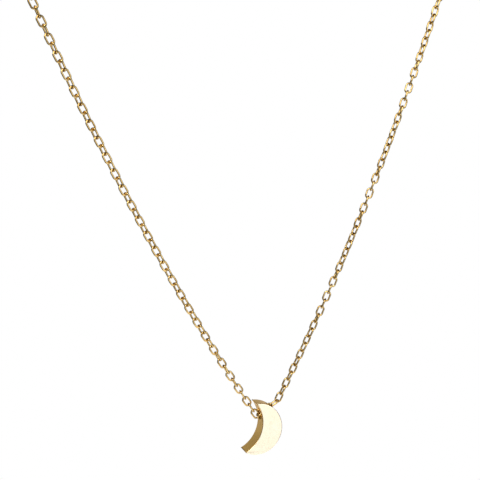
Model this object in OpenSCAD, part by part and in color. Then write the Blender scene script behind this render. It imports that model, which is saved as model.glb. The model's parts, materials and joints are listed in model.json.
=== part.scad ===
// Pendant necklace: a crescent moon bead strung on a fine cable chain, with a
// lobster clasp and an extender chain at the nape. The necklace hangs as worn.
// The origin is the middle of the neck loop, +Z is up and the pendant is at -Y.

/* [Chain] */
// Thickness of the chain's wire
wire = 0.32; // [0.3:0.01:0.34]
// Outer width of a chain link
link_w = 1.4; // [1.36:0.01:1.46]
// Inside length of a chain link
link_in = 1.48; // [1.46:0.01:1.5]
// Radius of a link's end, to the middle of its wire
link_end_r = 0.42; // [0.4:0.01:0.44]
// Play between two linked wires
play = 0.03; // [0.02:0.01:0.04]
// Links on each side of the pendant
side_links = 152; // [148:4:156]
// Turn of the left strand's links about the strand
twist = 14; // [10:1:14]
// Extra turn of every other link there, as slack links lie
cant = 22; // [16:1:22]
// Rocking of the right strand's links, to and fro along it
rock = 24; // [18:1:24]

/* [Drape] */
// Length of chain whose weight pulls the strands apart
slack = 83; // [75:1:95]
// Angle of the strands at the pendant, above level
rise_start = 60; // [57:1:63]
// Chain links from the pendant to the left shoulder
shoulder_left = 55; // [53:1:57]
// Chain links from the pendant to the right shoulder
shoulder_right = 55; // [53:1:57]
// Slope of the neck loop
neck_slope = 35; // [30:1:40]

/* [Pendant] */
// Outer radius of the crescent
moon_r = 4.65; // [4.6:0.05:4.75]
// Radius of the crescent's hollow side
moon_in_r = 5.75; // [5.65:0.05:5.85]
// Distance between the two circles' centres
moon_offset = 4.95; // [4.85:0.05:5.05]
// Thickness of the crescent
moon_t = 3; // [2.8:0.1:3.2]
// Turn of the crescent's hollow side above level
moon_turn = 17; // [15:1:19]
// Turn of the hanging crescent about the vertical
moon_yaw = 4; // [0:1:5]
// Lean of the hanging crescent's back edge downward
moon_lean = 3; // [0:1:4]
// Diameter of the hole that the chain runs through
bore_d = 2; // [1.8:0.1:2]
// Place of the hole's middle, right of the outer circle's centre
bore_x = 2.5; // [2.4:0.05:2.6]
// Place of the hole's middle, above the outer circle's centre
bore_z = 3.15; // [3.05:0.05:3.2]

/* [Clasp] */
// Wire of the jump ring
jump_wire = 0.5; // [0.45:0.05:0.5]
// Inner radius of the jump ring
jump_in_r = 1.3; // [1.3:0.05:1.4]
// Wire of the clasp's tail eye
tail_wire = 0.7; // [0.6:0.05:0.7]
// Inner radius of the clasp's tail eye
tail_in_r = 0.65; // [0.65:0.05:0.7]
// Radius of the hook, to the middle of its wire
hook_r = 2.1; // [2.1:0.05:2.2]
// Thickness of the hook
hook_wire = 1.1; // [1:0.05:1.1]
// Length of the body between the tail eye and the hook
clasp_neck = 1.6; // [1.4:0.1:1.8]
// Wire of the end ring
ring_wire = 0.6; // [0.5:0.05:0.6]
// Inner radius of the end ring
ring_in_r = 1.55; // [1.5:0.05:1.7]

/* [Extender] */
// Wire of the extender's round links
ext_wire = 0.5; // [0.45:0.05:0.5]
// Inner radius of an extender link
ext_in_r = 1.05; // [1:0.05:1.15]
// Links in each swinging length of the extender
ext_links = 8; // [6:2:8]
// Radius of the ball at the extender's end
drop_r = 1.5; // [1.3:0.1:1.7]

/* [Hidden] */
gold = "#d9b25c";
moon_gold = "#efdcae";

pitch = link_in - play;
// The front folds in four rows of eleven links a side, as its joints expect.
row_links = 11;
rows = 4;
neck_nodes = 4;
neck_links = (side_links - rows * row_links) / neck_nodes;

// A worked-out row of links: every entry is [centre, direction, reference].
function unit(v) = v / norm(v);
function ease(t) = let (c = min(1, max(0, t))) c * c * (3 - 2 * c);
function mix(a, b, t) = a + (b - a) * t;
function flat_to(v, d) = unit(v - (v * d) * d);

// Front strands: a hanging curve that carries the pendant, then the shoulder,
// a short upright stretch, and the neck loop that leans outward by `bulge`
// before it comes round to the nape. n is counted from the pendant.
bend_up = 4;
back_start = 63;
bend_back = 18;
neck_start = back_start + bend_back;
neck_curl = 1.5;
function hang(n) = atan(tan(rise_start) + n * pitch / slack);
function neck_turn(n, last, first, bulge) =
    mix(-bulge, 90, pow((n - first) / (last - first), neck_curl));
function strand_dir(n, shoulder, bulge) =
    let (
        up = ease((n - shoulder) / bend_up),
        rise = mix(hang(min(n, shoulder)), 90, up),
        back = ease((n - back_start) / bend_back),
        slope = mix(90, neck_slope, back),
        turn = n < neck_start ? -bulge * back
            : neck_turn(n, side_links - 1, neck_start, bulge),
        body = [-sin(turn), cos(turn) * cos(slope), cos(turn) * sin(slope)]
    )
    n < back_start ? [cos(rise), 0, sin(rise)] : unit(body);
function strand_ref(n, shoulder) =
    let (
        loop = ease((n - shoulder - bend_up) / (neck_start - shoulder - bend_up)),
        nape = ease((n - side_links + 30) / 28),
        lean = mix(neck_slope, 0, nape)
    )
    unit(mix([0, -1, 0], [0, -sin(lean), cos(lean)], loop));

// Centres of one side's links, each a pitch along from the last.
function strand(shoulder, bulge, start) = [
    for (
        n = 0, d = strand_dir(0, shoulder, bulge), p = start;
        n < side_links;
        n = n + 1, e = strand_dir(n, shoulder, bulge), p = p + pitch / 2 * (d + e), d = e
    ) [p, d]
];
function strand_end(s) = s[side_links - 1][0] + pitch / 2 * s[side_links - 1][1];

// Links beside and through the pendant. The chain turns sharply where it enters
// the hole, so the link there hangs from the round of the one before it.
extra_links = 2;
hole_links = 3;
link_half = link_in / 2 + wire / 2;
turn_in = link_half - link_end_r;
turn_out = link_end_r - wire - play + link_half;
down = [cos(hang(0)), 0, -sin(hang(0))];
hole_run = turn_out + (hole_links - 0.5) * pitch;
hole_rise = asin(((extra_links - 0.5) * pitch + turn_in) * sin(hang(0)) / hole_run);
into = [cos(hole_rise), 0, sin(hole_rise)];
start_x = (((extra_links + 0.5) * pitch + turn_in) * cos(hang(0)) + hole_run * cos(hole_rise)) / 2;
start_left = [-start_x, 0, 0];
first_hole = start_left + (extra_links * pitch + turn_in) * down + turn_out * into;
bore_mid = first_hole + (hole_links - 1) / 2 * pitch * into;

// The clasp closes the gap at the nape. Its pieces lie on a line from the left
// chain's end, each hanging in the one before.
jump_x = jump_in_r - play / 2;
tail_x = jump_x + jump_in_r - play + tail_in_r;
hook_x = tail_x + tail_in_r + tail_wire + clasp_neck + hook_r - hook_wire / 2;
ring_x = hook_x + hook_r - hook_wire / 2 - play + ring_in_r;
closure = ring_x + ring_in_r - play / 2;

function solve_right(lo, hi, k) =
    let (mid = (lo + hi) / 2, e = strand_end(strand(shoulder_right, mid, [start_x, 0, 0]))[0])
    k == 0 ? mid : e > closure / 2 ? solve_right(lo, mid, k - 1) : solve_right(mid, hi, k - 1);
bulge_right = solve_right(0, 80, 24);
right = strand(shoulder_right, bulge_right, [start_x, 0, 0]);
right_end = strand_end(right);
function mirrored(v) = [-v[0], v[1], v[2]];
function left_gap(bulge) =
    norm(right_end - mirrored(strand_end(strand(shoulder_left, bulge, [start_x, 0, 0]))));
function solve_left(lo, hi, k) =
    let (mid = (lo + hi) / 2)
    k == 0 ? mid : left_gap(mid) > closure ? solve_left(lo, mid, k - 1)
        : solve_left(mid, hi, k - 1);
bulge_left = solve_left(0, 80, 24);
left = [
    for (s = strand(shoulder_left, bulge_left, [start_x, 0, 0])) [mirrored(s[0]), mirrored(s[1])]
];
left_end = mirrored(strand_end(strand(shoulder_left, bulge_left, [start_x, 0, 0])));

// The neck loop's middle becomes the origin.
shoulder_z = left[back_start][0][2];
neck_mid = [0, right_end[1] / 2, (shoulder_z + right_end[2]) / 2];

// Draws its children with X along d and Z along the part of r square to d.
module place(p, d, r, roll = 0) {
    z = flat_to(r, d);
    y = cross(z, d);
    multmatrix([
        [d[0], y[0], z[0], p[0] - neck_mid[0]],
        [d[1], y[1], z[1], p[1] - neck_mid[1]],
        [d[2], y[2], z[2], p[2] - neck_mid[2]]
    ]) rotate([roll, 0, 0]) children();
}

// An oval wire link in the XY plane: two end arcs joined by two flatter arcs.
module oval_link(length_in, width, w, end_r) {
    a = (length_in + w) / 2;
    b = (width - w) / 2;
    side_r = (pow(a - end_r, 2) + b * b - end_r * end_r) / (2 * (b - end_r));
    half = atan2(a - end_r, side_r - b);
    union() {
        for (m = [0, 1]) mirror([m, 0, 0]) translate([a - end_r, 0, 0])
            rotate([0, 0, half - 90]) rotate_extrude(angle = 2 * (90 - half), $fn = 24)
                translate([end_r, 0]) circle(d = w, $fn = 16);
        for (m = [0, 1]) mirror([0, m, 0]) translate([0, b - side_r, 0])
            rotate([0, 0, 90 - half]) rotate_extrude(angle = 2 * half, $fn = 48)
                translate([side_r, 0]) circle(d = w, $fn = 16);
    }
}

module chain_link() {
    oval_link(link_in, link_w, wire, link_end_r);
}

// The links turn about the strand between the pendant and the shoulder.
settle_links = 14;
rock_links = 14;
turn_end = 42;
function settled(n) = ease(n / settle_links) * (1 - ease((n - turn_end) / settle_links));
function left_turn(n) = settled(n) * (twist + cant * (n % 2));
function right_turn(n) = settled(n) * rock * -cos(360 * n / rock_links);

module strand_link(at, shoulder, n, turn) {
    color(gold) place(at[0], at[1], strand_ref(n, shoulder), 90 * (n % 2) + turn) chain_link();
}

module left_links(first, count) {
    for (n = [first : first + count - 1]) strand_link(left[n], shoulder_left, n, left_turn(n));
}

module right_links(first, count) {
    for (n = [first : first + count - 1]) strand_link(right[n], shoulder_right, n, right_turn(n));
}

// Row 1 is the highest and row 4 carries the pendant.
module front_left(row) {
    left_links((rows - row) * row_links, row_links);
}

module front_right(row) {
    right_links((rows - row) * row_links, row_links);
}

module neck_left(part) {
    left_links(rows * row_links + (part - 1) * neck_links, neck_links);
}

module neck_right(part) {
    right_links(rows * row_links + (part - 1) * neck_links, neck_links);
}

module pendant_links() {
    color(gold) {
        for (k = [1 : extra_links])
            place(start_left + k * pitch * down, down, [0, -1, 0], 90 * (k % 2)) chain_link();
        for (k = [0 : hole_links - 1])
            place(first_hole + k * pitch * into, into, [0, -1, 0], 90 * ((k + 1) % 2))
                chain_link();
    }
}

// A thick crescent bead with a hole through its upper arm for the chain.
module crescent_moon() {
    color(moon_gold) place(bore_mid, [1, 0, 0], [0, 0, 1]) difference() {
        rotate([-moon_lean, 0, moon_yaw]) rotate([90, 0, 0])
            translate([-bore_x, -bore_z, -moon_t / 2]) linear_extrude(moon_t) difference() {
                circle(moon_r, $fn = 96);
                rotate(180 - moon_turn) translate([moon_offset, 0]) circle(moon_in_r, $fn = 96);
            }
        rotate([0, 90 - hole_rise, 0]) cylinder(d = bore_d, h = 4 * moon_r, center = true, $fn = 48);
    }
}

// Draws its children in the clasp's frame: X along the closure, Z up.
module at_clasp(x) {
    along = unit(right_end - left_end);
    place(left_end + x * along, along, [0, 0, 1]) children();
}

module round_ring(in_r, w) {
    rotate_extrude($fn = 64) translate([in_r + w / 2, 0]) circle(d = w, $fn = 24);
}

module jump_ring() {
    color(gold) at_clasp(jump_x) round_ring(jump_in_r, jump_wire);
}

module end_ring() {
    color(gold) at_clasp(ring_x) round_ring(ring_in_r, ring_wire);
}

// The hook's arc runs from its open tip round to the lever's pivot.
tip_angle = 24;
pivot_angle = 118;
knuckle_r = 0.7;
lever_w = 0.6;
ear_t = 0.45;
ear_r = 0.85;
ear_turn = 20;
// Gap in the hook's arc that lets the lever's round end pass the hook's tip.
lever_gap = 33;
lever_wire = 0.56;
slot_w = 0.7;
pin_d = 0.44;
pivot = hook_r * [cos(pivot_angle), sin(pivot_angle)];
// Draws its children with the hook in XY, X along the closure and Y up.
module at_hook() {
    at_clasp(hook_x) rotate([90, 0, 0]) children();
}

module hook_arc(from, to, w) {
    rotate([0, 0, from]) rotate_extrude(angle = to - from, $fn = 64)
        translate([hook_r, 0]) circle(d = w, $fn = 24);
}

module clasp_ear(z) {
    translate([pivot[0], pivot[1], z]) difference() {
        cylinder(r = ear_r, h = ear_t, $fn = 32);
        translate([0, 0, -1]) cylinder(d = pin_d, h = ear_t + 2, $fn = 32);
    }
}

module clasp_body() {
    neck_from = tail_x - hook_x + tail_in_r + 0.25;
    neck_to = -hook_r + 0.3;
    color(gold) at_hook() union() {
        hook_arc(pivot_angle + ear_turn, 360 + tip_angle, hook_wire);
        rotate([0, 0, tip_angle]) translate([hook_r, 0]) sphere(d = hook_wire + 0.08, $fn = 32);
        clasp_ear(slot_w / 2);
        clasp_ear(-slot_w / 2 - ear_t);
        translate([neck_from, 0, 0]) rotate([0, 90, 0])
            cylinder(d = 1.5, h = neck_to - neck_from, $fn = 32);
        translate([tail_x - hook_x, 0, 0]) round_ring(tail_in_r, tail_wire);
    }
}

module lever_pin() {
    color(gold) at_hook() translate([pivot[0], pivot[1], 0])
        cylinder(d = pin_d, h = slot_w + 2 * ear_t + 0.1, center = true, $fn = 32);
}

// The lever closes the hook from inside the slot and has a thumb piece on top.
module clasp_lever() {
    color(gold) at_hook() difference() {
        union() {
            hook_arc(tip_angle + lever_gap, pivot_angle, lever_wire);
            rotate([0, 0, tip_angle + lever_gap]) translate([hook_r, 0])
                sphere(d = lever_wire + 0.06, $fn = 24);
            translate([pivot[0], pivot[1], 0])
                cylinder(r = knuckle_r - 0.1, h = lever_w, center = true, $fn = 32);
            rotate([0, 0, 84]) translate([hook_r + 0.5, 0, 0]) rotate([0, 90, 0])
                cylinder(d = 0.56, h = 1, center = true, $fn = 24);
        }
        translate([pivot[0], pivot[1], 0]) cylinder(d = pin_d + 0.06, h = 2, center = true, $fn = 32);
    }
}

// A flat return spring lies in the slot behind the lever's knuckle.
module lever_spring() {
    color(gold) at_hook() translate([pivot[0], pivot[1], 0]) rotate([0, 0, pivot_angle - 90])
        translate([-0.65, 0.15, 0]) cube([0.06, 0.6, 0.5], center = true);
}

// The extender hangs from the back of the end ring, link by link.
ext_pitch = 2 * ext_in_r - play;
function closure_point(x) = left_end + x * unit(right_end - left_end);
ext_top = closure_point(ring_x) + [0, ring_in_r + ring_wire / 2, 0];
ext_first = ext_top - [0, 0, ext_in_r - ring_wire / 2 - play];
module extender(part) {
    color(gold) for (k = [(part - 1) * ext_links : part * ext_links - 1])
        place(ext_first - [0, 0, k * ext_pitch], [0, 0, -1], [1, 0, 0], 90 * (k % 2))
            round_ring(ext_in_r, ext_wire);
}

// A ball on an eye ends the extender.
module end_drop() {
    eye_r = 0.75;
    weld = 0.2;
    top = ext_first - [0, 0, (3 * ext_links - 0.5) * ext_pitch];
    color(gold) place(top - [0, 0, eye_r - play / 2], [0, 0, -1], [1, 0, 0])
        union() {
            round_ring(eye_r, ext_wire);
            translate([eye_r + drop_r + weld, 0, 0]) sphere(r = drop_r, $fn = 64);
        }
}

front_left(1);  // front_left_1
front_left(2);  // front_left_2
front_left(3);  // front_left_3
front_left(4);  // front_left_4
front_right(1);  // front_right_1
front_right(2);  // front_right_2
front_right(3);  // front_right_3
front_right(4);  // front_right_4
neck_left(1);  // neck_left_1
neck_left(2);  // neck_left_2
neck_left(3);  // neck_left_3
neck_left(4);  // neck_left_4
neck_right(1);  // neck_right_1
neck_right(2);  // neck_right_2
neck_right(3);  // neck_right_3
neck_right(4);  // neck_right_4
pendant_links();
crescent_moon();
jump_ring();
clasp_body();
clasp_lever();
lever_pin();
lever_spring();
end_ring();
extender(1);  // extender_upper
extender(2);  // extender_middle
extender(3);  // extender_lower
end_drop();
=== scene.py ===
"""Crescent moon necklace: the looks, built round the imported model."""

import json
import math

import bpy
import numpy as np
from mathutils import Matrix, Vector


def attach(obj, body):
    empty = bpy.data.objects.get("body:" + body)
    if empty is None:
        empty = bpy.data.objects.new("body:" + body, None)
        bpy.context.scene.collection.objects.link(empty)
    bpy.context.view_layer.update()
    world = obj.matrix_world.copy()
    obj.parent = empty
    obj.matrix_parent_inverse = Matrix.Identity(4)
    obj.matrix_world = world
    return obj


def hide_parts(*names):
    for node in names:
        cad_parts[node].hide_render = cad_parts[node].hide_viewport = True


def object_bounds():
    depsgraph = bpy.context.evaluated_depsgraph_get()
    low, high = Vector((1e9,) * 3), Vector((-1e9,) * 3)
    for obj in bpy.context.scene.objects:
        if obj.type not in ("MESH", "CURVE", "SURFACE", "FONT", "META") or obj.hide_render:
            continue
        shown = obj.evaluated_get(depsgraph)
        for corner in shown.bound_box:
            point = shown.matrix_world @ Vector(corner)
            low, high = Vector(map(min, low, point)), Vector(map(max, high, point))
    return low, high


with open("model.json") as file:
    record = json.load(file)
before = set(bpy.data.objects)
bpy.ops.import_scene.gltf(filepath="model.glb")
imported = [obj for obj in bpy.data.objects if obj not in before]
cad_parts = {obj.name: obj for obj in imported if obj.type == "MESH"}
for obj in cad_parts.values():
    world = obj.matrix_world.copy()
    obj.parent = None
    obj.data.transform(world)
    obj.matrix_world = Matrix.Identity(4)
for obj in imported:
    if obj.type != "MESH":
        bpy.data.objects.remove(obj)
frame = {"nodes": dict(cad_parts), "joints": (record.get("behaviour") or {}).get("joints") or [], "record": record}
cad_low, cad_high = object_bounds()

MM = 0.001
joint_at = {j["name"]: Vector(j["pos_m"]) for j in frame["joints"]}
joint_axis = {j["name"]: Vector(j["axis"]).normalized() for j in frame["joints"]}
body_of_node = {n: b for b, names in frame["record"]["behaviour"]["bodies"].items() for n in names}

# Sizes of the pieces that are remade, in metres.
WIRE = 0.34 * MM
LINK_WIDTH = 1.40 * MM
LINK_LENGTH = 2.12 * MM
EXTENDER_WIRE = 0.5 * MM
EXTENDER_RADIUS = 1.3 * MM
MOON_RADIUS = 4.65 * MM
MOON_HOLLOW_RADIUS = 5.75 * MM
MOON_OFFSET = 4.95 * MM
MOON_THICK = 3.0 * MM
MOON_TURN = math.radians(17)
MOON_YAW = math.radians(4)
MOON_LEAN = math.radians(3)
BORE_WIDTH = 2.0 * MM
BORE_FROM_MIDDLE = Vector((2.5, 0, 3.15)) * MM
EDGE = 0.14 * MM
EDGE_STEPS = 3
EDGE_ANGLE = math.radians(35)

# Faces along and round the wires, and round the bead.
LINK_FACES = (18, 7)
RING_FACES = (28, 10)
BEAD_FACES = 160


# ---- helpers ----------------------------------------------------------------


def deselect():
    bpy.ops.object.select_all(action="DESELECT")


def active(name):
    """Names the piece just added and returns it."""
    piece = bpy.context.object
    piece.name = name
    piece.data.name = name
    return piece


def only(piece):
    deselect()
    piece.select_set(True)
    bpy.context.view_layer.objects.active = piece


def put_place_in_mesh(piece):
    only(piece)
    bpy.ops.object.transform_apply(location=True, rotation=True, scale=True)


def apply_modifiers(piece):
    only(piece)
    for modifier in list(piece.modifiers):
        bpy.ops.object.modifier_apply(modifier=modifier.name)


def finish_piece(piece, body, nodes, material):
    """Gives a piece its finish, hangs it on its body and hides the CAD nodes it stands in for."""
    piece.data.materials.clear()
    piece.data.materials.append(material)
    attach(piece, body)
    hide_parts(*nodes)


# ---- metal finishes ---------------------------------------------------------


def colour(hex_value):
    """An sRGB hex colour as linear RGBA."""
    parts = [int(hex_value[i : i + 2], 16) / 255 for i in (1, 3, 5)]
    linear = [c / 12.92 if c <= 0.04045 else ((c + 0.055) / 1.055) ** 2.4 for c in parts]
    return (*linear, 1.0)


def node(tree, kind, links=(), **settings):
    """Adds a node with its settings, and links (output, input) pairs into it."""
    made = tree.nodes.new(kind)
    for key, value in settings.items():
        if key in made.bl_rna.properties:
            setattr(made, key, value)
        else:
            made.inputs[key.replace("_", " ")].default_value = value
    for source, target in links:
        tree.links.new(source, made.inputs[target])
    return made


TONE_PATCH = 2.2 * MM
SCRATCH_DEPTH = 0.004 * MM
# How squarely a face must look front or back to keep the pale painted highlight.
WALL_FACING, HIGHLIGHT_FACING = 0.55, 0.9


def plated_gold(name, bright, deep, roughness, grain_mm, scratch):
    """Polished gold plating: two close tones of gold, and fine rubbing that breaks up its gloss."""
    material = bpy.data.materials.new(name)
    material.use_nodes = True
    tree = material.node_tree
    shader = tree.nodes["Principled BSDF"]
    shader.inputs["Metallic"].default_value = 1.0
    place = node(tree, "ShaderNodeTexCoord").outputs["Object"]
    tone = node(tree, "ShaderNodeTexNoise", [(place, "Vector")], Scale=1 / TONE_PATCH, Detail=3.0)
    tones = node(tree, "ShaderNodeMix", [(tone.outputs["Fac"], "Factor")], data_type="RGBA")
    tones.inputs[6].default_value = colour(deep)
    tones.inputs[7].default_value = colour(bright)
    tree.links.new(tones.outputs[2], shader.inputs["Base Color"])
    grain = 1 / (grain_mm * MM)
    rub = node(tree, "ShaderNodeTexNoise", [(place, "Vector")], Scale=grain, Detail=5.0)
    gloss = node(tree, "ShaderNodeMapRange", [(rub.outputs["Fac"], "Value")])
    gloss.inputs["From Min"].default_value = 0.3
    gloss.inputs["From Max"].default_value = 0.7
    gloss.inputs["To Min"].default_value = roughness * 0.75
    gloss.inputs["To Max"].default_value = roughness * 1.3
    tree.links.new(gloss.outputs["Result"], shader.inputs["Roughness"])
    bump = node(tree, "ShaderNodeBump", [(rub.outputs["Fac"], "Height")])
    bump.inputs["Strength"].default_value = scratch
    bump.inputs["Distance"].default_value = SCRATCH_DEPTH
    tree.links.new(bump.outputs["Normal"], shader.inputs["Normal"])
    return material


def satin_walls_painted_highlight(material, deep, roughness):
    """The cut walls keep a deeper, satin gold, told by how a surface faces; the front and back faces keep the pale
    cream of a painted highlight.
    """
    tree = material.node_tree
    shader = tree.nodes["Principled BSDF"]
    normal = node(tree, "ShaderNodeTexCoord").outputs["Normal"]
    facing = node(tree, "ShaderNodeSeparateXYZ", [(normal, "Vector")])
    size = node(tree, "ShaderNodeMath", [(facing.outputs["Y"], 0)], operation="ABSOLUTE")
    # Front and back faces keep the pale painted highlight colour, walls get the deep gold.
    flat = node(tree, "ShaderNodeMapRange", [(size.outputs[0], "Value")])
    flat.inputs["From Min"].default_value = WALL_FACING
    flat.inputs["From Max"].default_value = HIGHLIGHT_FACING
    # A mix node's two inputs and its output sit at other places for colours and for numbers.
    for socket, wall, kind, first, second, result in (
        ("Base Color", colour(deep), "RGBA", 6, 7, 2),
        ("Roughness", roughness, "FLOAT", 2, 3, 0),
    ):
        face_highlight_and_gloss = shader.inputs[socket].links[0].from_socket
        both = node(tree, "ShaderNodeMix", [(flat.outputs["Result"], 0)], data_type=kind)
        both.inputs[first].default_value = wall
        tree.links.new(face_highlight_and_gloss, both.inputs[second])
        tree.links.new(both.outputs[result], shader.inputs[socket])


# Drawn wire, plated and tumbled: glossy, with bright spots between deep gold, darker than the bead; the deep tone
# is painted shade, standing in for the dark reflections along the wires.
chain_gold = plated_gold("plated_wire_painted_shade", "#E8CE92", "#AA8339", 0.12, 0.3, 0.25)
# Cast bead: its flat faces show as pale cream, a painted highlight; its tumbled walls show as deeper gold.
moon_gold = plated_gold("plated_casting_painted_highlight", "#FDF3DE", "#FBEDD0", 0.2, 0.5, 0.06)
satin_walls_painted_highlight(moon_gold, "#F0C265", 0.33)
# Clasp, rings and extender: barrel-polished plating, an even warm shine.
fitting_gold = plated_gold("barrel_polished_plating", "#EFCB83", "#D5A550", 0.2, 0.35, 0.25)


def spring_steel():
    """Cold-rolled spring strip: bright grey with rolling lines."""
    material = bpy.data.materials.new("rolled_spring_steel")
    material.use_nodes = True
    tree = material.node_tree
    shader = tree.nodes["Principled BSDF"]
    shader.inputs["Metallic"].default_value = 1.0
    shader.inputs["Roughness"].default_value = 0.3
    place = node(tree, "ShaderNodeTexCoord").outputs["Object"]
    stretch = node(tree, "ShaderNodeMapping", [(place, "Vector")])
    stretch.inputs["Scale"].default_value = (1.0, 1.0, 12.0)
    along = stretch.outputs["Vector"]
    lines = node(tree, "ShaderNodeTexNoise", [(along, "Vector")], Scale=1 / (0.1 * MM))
    tones = node(tree, "ShaderNodeMix", [(lines.outputs["Fac"], "Factor")], data_type="RGBA")
    tones.inputs[6].default_value = colour("#8E8E90")
    tones.inputs[7].default_value = colour("#C4C5C8")
    tree.links.new(tones.outputs[2], shader.inputs["Base Color"])
    return material


steel = spring_steel()


# ---- chain ------------------------------------------------------------------


def add_ring(radius, wire, faces):
    deselect()
    bpy.ops.mesh.primitive_torus_add(
        major_segments=faces[0], minor_segments=faces[1], major_radius=radius, minor_radius=wire / 2
    )


def chain_link():
    """One wire link: a ring whose two halves are drawn apart to an oval."""
    ring_radius = (LINK_WIDTH - WIRE) / 2
    add_ring(ring_radius, WIRE, LINK_FACES)
    link = active("link_pattern")
    half_draw = (LINK_LENGTH - LINK_WIDTH) / 2
    for way in (-1, 1):
        bpy.ops.object.mode_set(mode="EDIT")
        bpy.ops.mesh.select_all(action="DESELECT")
        bpy.ops.object.mode_set(mode="OBJECT")
        for v in link.data.vertices:
            v.select = v.co.x * way > ring_radius * 0.1
        bpy.ops.object.mode_set(mode="EDIT")
        bpy.ops.transform.translate(value=(way * half_draw, 0, 0))
        bpy.ops.object.mode_set(mode="OBJECT")
    bpy.ops.object.shade_smooth()
    return link


def extender_ring():
    add_ring(EXTENDER_RADIUS, EXTENDER_WIRE, RING_FACES)
    ring = active("ring_pattern")
    bpy.ops.object.shade_smooth()
    return ring


def solids_of(cad):
    """The triangles of each separate solid in a CAD node, as arrays of corners."""
    mesh = cad.data
    mesh.calc_loop_triangles()
    points = np.empty(len(mesh.vertices) * 3)
    mesh.vertices.foreach_get("co", points)
    points = points.reshape(-1, 3)
    corners = np.empty(len(mesh.loop_triangles) * 3, int)
    mesh.loop_triangles.foreach_get("vertices", corners)
    corners = corners.reshape(-1, 3)
    # Loose corners that lie together count as one point.
    _, same = np.unique(np.round(points / 1e-6).astype(np.int64), axis=0, return_inverse=True)
    ends = same.reshape(-1)[corners]
    label = np.arange(ends.max() + 1)
    while True:
        low = label[ends].min(1)
        before = label.copy()
        for k in range(3):
            np.minimum.at(label, ends[:, k], low)
        label = label[label]
        if (label == before).all():
            break
    of_triangle = label[ends[:, 0]]
    return [points[corners[of_triangle == one]] for one in np.unique(of_triangle)]


def place_of(triangles):
    """A solid's middle and its long, wide and thin directions, as a matrix."""
    a, b, c = triangles[:, 0], triangles[:, 1], triangles[:, 2]
    area = np.linalg.norm(np.cross(b - a, c - a), axis=1)
    middles = (a + b + c) / 3
    centre = (middles * area[:, None]).sum(0) / area.sum()
    away = middles - centre
    spread = (away * area[:, None]).T @ away
    directions = np.linalg.eigh(spread)[1][:, ::-1]
    if np.linalg.det(directions) < 0:
        directions[:, 2] *= -1
    matrix = np.eye(4)
    matrix[:3, :3] = directions
    matrix[:3, 3] = centre
    return Matrix(matrix.tolist())


def run_of(pattern, cad_name, material):
    """A run of links, each put where the CAD node has one, as one piece."""
    copies = []
    for solid in solids_of(frame["nodes"][cad_name]):
        copy = pattern.copy()
        copy.data = pattern.data.copy()
        copy.data.transform(place_of(solid))
        bpy.context.scene.collection.objects.link(copy)
        copies.append(copy)
    deselect()
    for copy in copies:
        copy.select_set(True)
    bpy.context.view_layer.objects.active = copies[0]
    bpy.ops.object.join()
    piece = active(cad_name + "_wire")
    finish_piece(piece, body_of_node[cad_name], [cad_name], material)
    return piece


link_pattern = chain_link()
ring_pattern = extender_ring()
for cad_name in body_of_node:
    if cad_name.startswith(("front_", "neck_", "pendant_links")):
        run_of(link_pattern, cad_name, chain_gold)
    elif cad_name.startswith("extender_"):
        run_of(ring_pattern, cad_name, fitting_gold)
for pattern in (link_pattern, ring_pattern):
    bpy.data.objects.remove(pattern)


# ---- crescent ---------------------------------------------------------------


def round_tool(radius, depth, at, along, name):
    """A round bar for the blank, the hollow or the bore."""
    deselect()
    turn = Vector((0, 0, 1)).rotation_difference(along).to_euler()
    bpy.ops.mesh.primitive_cylinder_add(
        vertices=BEAD_FACES, radius=radius, depth=depth, location=at, rotation=turn
    )
    return active(name)


def cut(piece, tool):
    modifier = piece.modifiers.new("cut", "BOOLEAN")
    modifier.operation = "DIFFERENCE"
    modifier.solver = "EXACT"
    modifier.object = tool
    apply_modifiers(piece)
    bpy.data.objects.remove(tool)


def crescent():
    """The bead: a thick disc with one side hollowed out, bored for the chain, its edges broken."""
    forward = Vector((0, 1, 0))
    middle = -BORE_FROM_MIDDLE
    bead = round_tool(MOON_RADIUS, MOON_THICK, middle, forward, "crescent_bead")
    put_place_in_mesh(bead)
    hollow_at = middle + MOON_OFFSET * Vector((-math.cos(MOON_TURN), 0, math.sin(MOON_TURN)))
    cut(bead, round_tool(MOON_HOLLOW_RADIUS, 2 * MOON_THICK, hollow_at, forward, "hollow_tool"))
    bead.rotation_euler = (-MOON_LEAN, 0, MOON_YAW)
    put_place_in_mesh(bead)
    centre = Vector((0, 0, 0))
    along = joint_axis["pendant_swing"]
    cut(bead, round_tool(BORE_WIDTH / 2, 4 * MOON_THICK, centre, along, "bore_tool"))
    bevel = bead.modifiers.new("broken_edge", "BEVEL")
    bevel.width = EDGE
    bevel.segments = EDGE_STEPS
    bevel.limit_method = "ANGLE"
    bevel.angle_limit = EDGE_ANGLE
    bevel.use_clamp_overlap = False
    apply_modifiers(bead)
    bpy.ops.object.shade_smooth()
    # The flat faces keep their own normals, so only the broken edges shade as round.
    flats = bead.modifiers.new("flat_faces", "WEIGHTED_NORMAL")
    flats.mode = "FACE_AREA"
    flats.weight = 100
    apply_modifiers(bead)
    bead.location = joint_at["pendant_swing"]
    put_place_in_mesh(bead)
    finish_piece(bead, "pendant", ["crescent_moon"], moon_gold)


crescent()


# ---- fittings that keep their CAD shape -------------------------------------

for cad_name in ("jump_ring", "clasp_body", "clasp_lever", "lever_pin", "end_ring", "end_drop"):
    cad = frame["nodes"][cad_name]
    cad.data.materials.clear()
    cad.data.materials.append(fitting_gold)
frame["nodes"]["lever_spring"].data.materials.clear()
frame["nodes"]["lever_spring"].data.materials.append(steel)


# ---- camera, floor and light ------------------------------------------------

CAMERA_TURN = math.radians(-15.04)
CAMERA_RISE = math.radians(7.75)
CAMERA_ROLL = math.radians(-2.0)
CAMERA_AWAY = 122.5 * MM
LENS_MM = 52.3
LENS_SHIFT = (-0.037, 0.0175)
LOOK_FROM_BORE = Vector((-0.77, 0, 29.27)) * MM
FLOOR_RADIUS = 0.22
FLOOR_BELOW = 0.16
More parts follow.
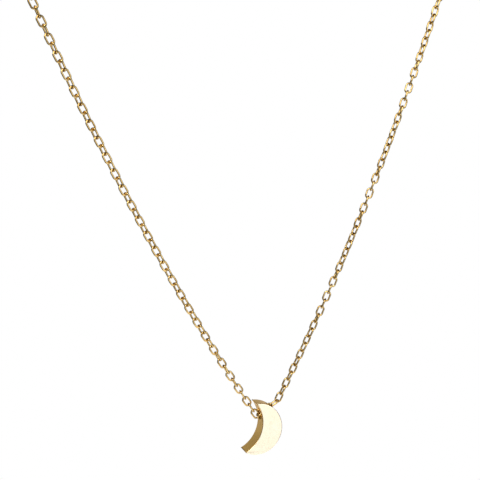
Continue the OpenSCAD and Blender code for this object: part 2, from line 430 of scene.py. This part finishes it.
# Levels of the light tent, along Y from the front and along Z from below.
FRONT_TO_BACK = (
    (-1.0, 0.8),
    (-0.84, 0.76),
    (-0.67, 0.22),
    (-0.42, 0.03),
    (0.6, 0.02),
    (0.85, 0.5),
    (1.0, 0.85),
)
LOW_TO_HIGH = ((-1.0, 0.4), (-0.3, 1.0), (-0.08, 1.0), (0.12, 0.65), (1.0, 0.65))
TENT_LIGHT = 1.0
BACKDROP_LIGHT = 1.0


def camera():
    look_at = joint_at["pendant_swing"] + LOOK_FROM_BORE
    level = math.cos(CAMERA_RISE)
    back = Vector(
        (math.sin(CAMERA_TURN) * level, -math.cos(CAMERA_TURN) * level, math.sin(CAMERA_RISE))
    )
    side = Vector((math.cos(CAMERA_TURN), math.sin(CAMERA_TURN), 0))
    up = back.cross(side)
    across = side * math.cos(CAMERA_ROLL) + up * math.sin(CAMERA_ROLL)
    upward = up * math.cos(CAMERA_ROLL) - side * math.sin(CAMERA_ROLL)
    turn = Matrix((across, upward, back)).transposed().to_4x4()
    data = bpy.data.cameras.new("camera")
    data.lens = LENS_MM
    data.sensor_width = 36
    data.shift_x, data.shift_y = LENS_SHIFT
    data.clip_start = 1 * MM
    data.clip_end = 10
    cam = bpy.data.objects.new("camera", data)
    bpy.context.scene.collection.objects.link(cam)
    cam.matrix_world = Matrix.Translation(look_at + back * CAMERA_AWAY) @ turn
    bpy.context.scene.camera = cam


def floor():
    """A plain pale floor, well below the hanging piece."""
    deselect()
    bpy.ops.mesh.primitive_circle_add(
        vertices=64, radius=FLOOR_RADIUS, fill_type="NGON", location=(0, 0, cad_low.z - FLOOR_BELOW)
    )
    disc = active("floor")
    put_place_in_mesh(disc)
    pale = bpy.data.materials.new("matt_white_board")
    pale.use_nodes = True
    shader = pale.node_tree.nodes["Principled BSDF"]
    shader.inputs["Base Color"].default_value = colour("#FBFAF8")
    shader.inputs["Roughness"].default_value = 0.8
    disc.data.materials.append(pale)


def soft_light(name, away, azimuth, elevation, size, power, tint):
    """A square soft box aimed at the pendant."""
    aim = joint_at["pendant_swing"] + Vector((0, 0, 25)) * MM
    a, e = math.radians(azimuth), math.radians(elevation)
    out = Vector((math.sin(a) * math.cos(e), -math.cos(a) * math.cos(e), math.sin(e)))
    data = bpy.data.lights.new(name, "AREA")
    data.shape = "SQUARE"
    data.size = size
    data.energy = power
    data.color = colour(tint)[:3]
    lamp = bpy.data.objects.new(name, data)
    lamp.location = aim + out * away
    lamp.rotation_mode = "QUATERNION"
    lamp.rotation_quaternion = out.to_track_quat("Z", "Y")
    bpy.context.scene.collection.objects.link(lamp)


def ramp_of(tree, source, stops):
    """Grey levels at places along a direction's coordinate, which runs from -1 to 1."""
    along = node(tree, "ShaderNodeMapRange", [(source, "Value")])
    along.inputs["From Min"].default_value = -1.0
    levels = node(tree, "ShaderNodeValToRGB", [(along.outputs["Result"], "Fac")])
    ramp = levels.color_ramp
    for place, level in stops[1:-1]:
        ramp.elements.new((place + 1) / 2).color = (level, level, level, 1)
    for end, (place, level) in ((0, stops[0]), (-1, stops[-1])):
        ramp.elements[end].position = (place + 1) / 2
        ramp.elements[end].color = (level, level, level, 1)
    return levels.outputs["Color"]


def studio():
    """White screens in front and behind and dark sides, for polished metal to reflect."""
    world = bpy.data.worlds.new("studio")
    bpy.context.scene.world = world
    world.use_nodes = True
    tree = world.node_tree
    tree.nodes.clear()
    way = node(tree, "ShaderNodeTexCoord").outputs["Generated"]
    parts = node(tree, "ShaderNodeSeparateXYZ", [(way, "Vector")])
    depth = ramp_of(tree, parts.outputs["Y"], FRONT_TO_BACK)
    height = ramp_of(tree, parts.outputs["Z"], LOW_TO_HIGH)
    tent = node(tree, "ShaderNodeMix", data_type="RGBA", blend_type="MULTIPLY", Factor=1.0)
    tree.links.new(depth, tent.inputs[6])
    tree.links.new(height, tent.inputs[7])
    tent_colour = tent.outputs[2]
    reflected = node(
        tree, "ShaderNodeBackground", [(tent_colour, "Color")], Strength=TENT_LIGHT
    )
    seen = node(tree, "ShaderNodeBackground", Color=colour("#FFFFFF"), Strength=BACKDROP_LIGHT)
    # Only what metal reflects is the tent; the eye and the floor meet plain white.
    mirrored = node(tree, "ShaderNodeLightPath").outputs["Is Glossy Ray"]
    both = node(tree, "ShaderNodeMixShader", [(mirrored, 0)])
    tree.links.new(seen.outputs[0], both.inputs[1])
    tree.links.new(reflected.outputs[0], both.inputs[2])
    out = node(tree, "ShaderNodeOutputWorld")
    tree.links.new(both.outputs[0], out.inputs["Surface"])


camera()
floor()
studio()
soft_light("key_left", 0.5, -40, 45, 0.35, 2.0, "#FFF9EE")
soft_light("screen_right", 0.5, 36, 0, 0.5, 0.34, "#FFFFFF")
soft_light("fill_right", 0.6, 50, 20, 0.4, 1.0, "#FFFFFF")
bpy.context.scene.view_settings.view_transform = "Standard"
